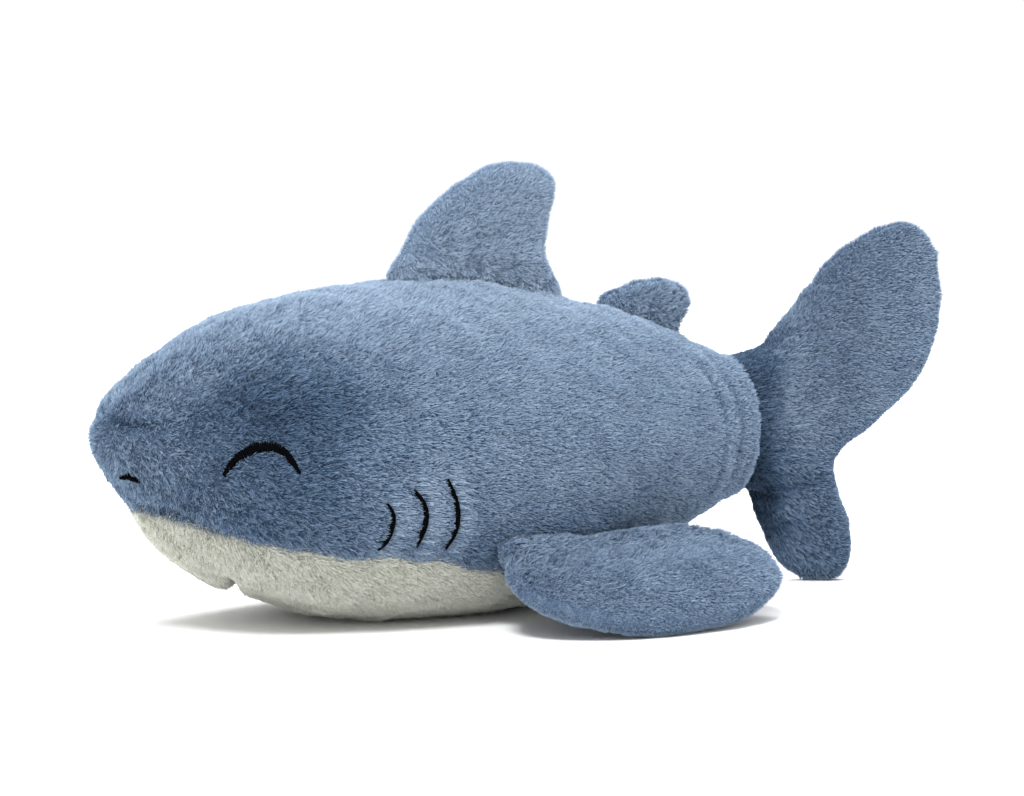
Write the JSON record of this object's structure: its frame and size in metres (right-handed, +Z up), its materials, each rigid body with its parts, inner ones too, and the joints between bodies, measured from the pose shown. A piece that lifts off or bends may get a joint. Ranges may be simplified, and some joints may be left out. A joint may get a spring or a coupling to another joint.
{
  "type": "plush shark",
  "caption": "Blue and cream plush shark lying on its belly, with stuffed fins that bend at their seams, closed embroidered eyes and gill lines.",
  "frame": {"origin": "middle of the footprint, on the surface the belly rests on", "axes": "-X towards the nose, -Y towards the left pectoral fin, +Z up"},
  "size_m": [0.4168, 0.2698, 0.1995],
  "materials": {
    "plush_blue": "short dense pile, matte",
    "plush_cream": "short dense pile, matte",
    "stuffing": "loose polyester fibre",
    "thread": "satin embroidery thread"
  },
  "bodies": {
    "torso": {"body_panel_left": "plush_blue", "body_panel_right": "plush_blue", "chin_panel": "plush_cream", "belly_panel": "plush_cream", "body_stuffing": "stuffing", "eye_left": "thread", "eye_right": "thread", "gill_1_left": "thread", "gill_1_right": "thread", "gill_2_left": "thread", "gill_2_right": "thread", "gill_3_left": "thread", "gill_3_right": "thread", "nostril_left": "thread", "nostril_right": "thread"},
    "dorsal_fin": {"dorsal_fin_panel_left": "plush_blue", "dorsal_fin_panel_right": "plush_blue", "dorsal_fin_stuffing": "stuffing"},
    "second_dorsal_fin": {"second_dorsal_fin_panel_left": "plush_blue", "second_dorsal_fin_panel_right": "plush_blue", "second_dorsal_fin_stuffing": "stuffing"},
    "tail_fin": {"tail_fin_panel_left": "plush_blue", "tail_fin_panel_right": "plush_blue", "tail_fin_stuffing": "stuffing"},
    "pectoral_fin_left": {"pectoral_fin_left_panel_upper": "plush_blue", "pectoral_fin_left_panel_lower": "plush_blue", "pectoral_fin_left_stuffing": "stuffing"},
    "pectoral_fin_right": {"pectoral_fin_right_panel_upper": "plush_blue", "pectoral_fin_right_panel_lower": "plush_blue", "pectoral_fin_right_stuffing": "stuffing"}
  },
  "joints": [
    {"name": "tail_wag", "type": "hinge", "parent": "torso", "child": "tail_fin", "pos_m": [0.14157, -0.017, 0.077], "axis": [0, 0, 1], "range_deg": [-15, 60], "stiffness_Nm_per_rad": 0.1},
    {"name": "dorsal_fin_flop", "type": "hinge", "parent": "torso", "child": "dorsal_fin", "pos_m": [-0.01693, 0, 0.14814], "axis": [0.9931, 0, -0.1176], "range_deg": [-40, 40], "stiffness_Nm_per_rad": 0.05},
    {"name": "second_dorsal_fin_flop", "type": "hinge", "parent": "torso", "child": "second_dorsal_fin", "pos_m": [0.07507, 0, 0.12571], "axis": [0.9252, 0, -0.3795], "range_deg": [-40, 40], "stiffness_Nm_per_rad": 0.02},
    {"name": "pectoral_fin_left_flap", "type": "hinge", "parent": "torso", "child": "pectoral_fin_left", "pos_m": [-0.03493, -0.0775, 0.034], "axis": [-1, 0, 0], "range_deg": [0, 60], "stiffness_Nm_per_rad": 0.1},
    {"name": "pectoral_fin_right_flap", "type": "hinge", "parent": "torso", "child": "pectoral_fin_right", "pos_m": [-0.03493, 0.0775, 0.034], "axis": [1, 0, 0], "range_deg": [0, 60], "stiffness_Nm_per_rad": 0.1}
  ]
}
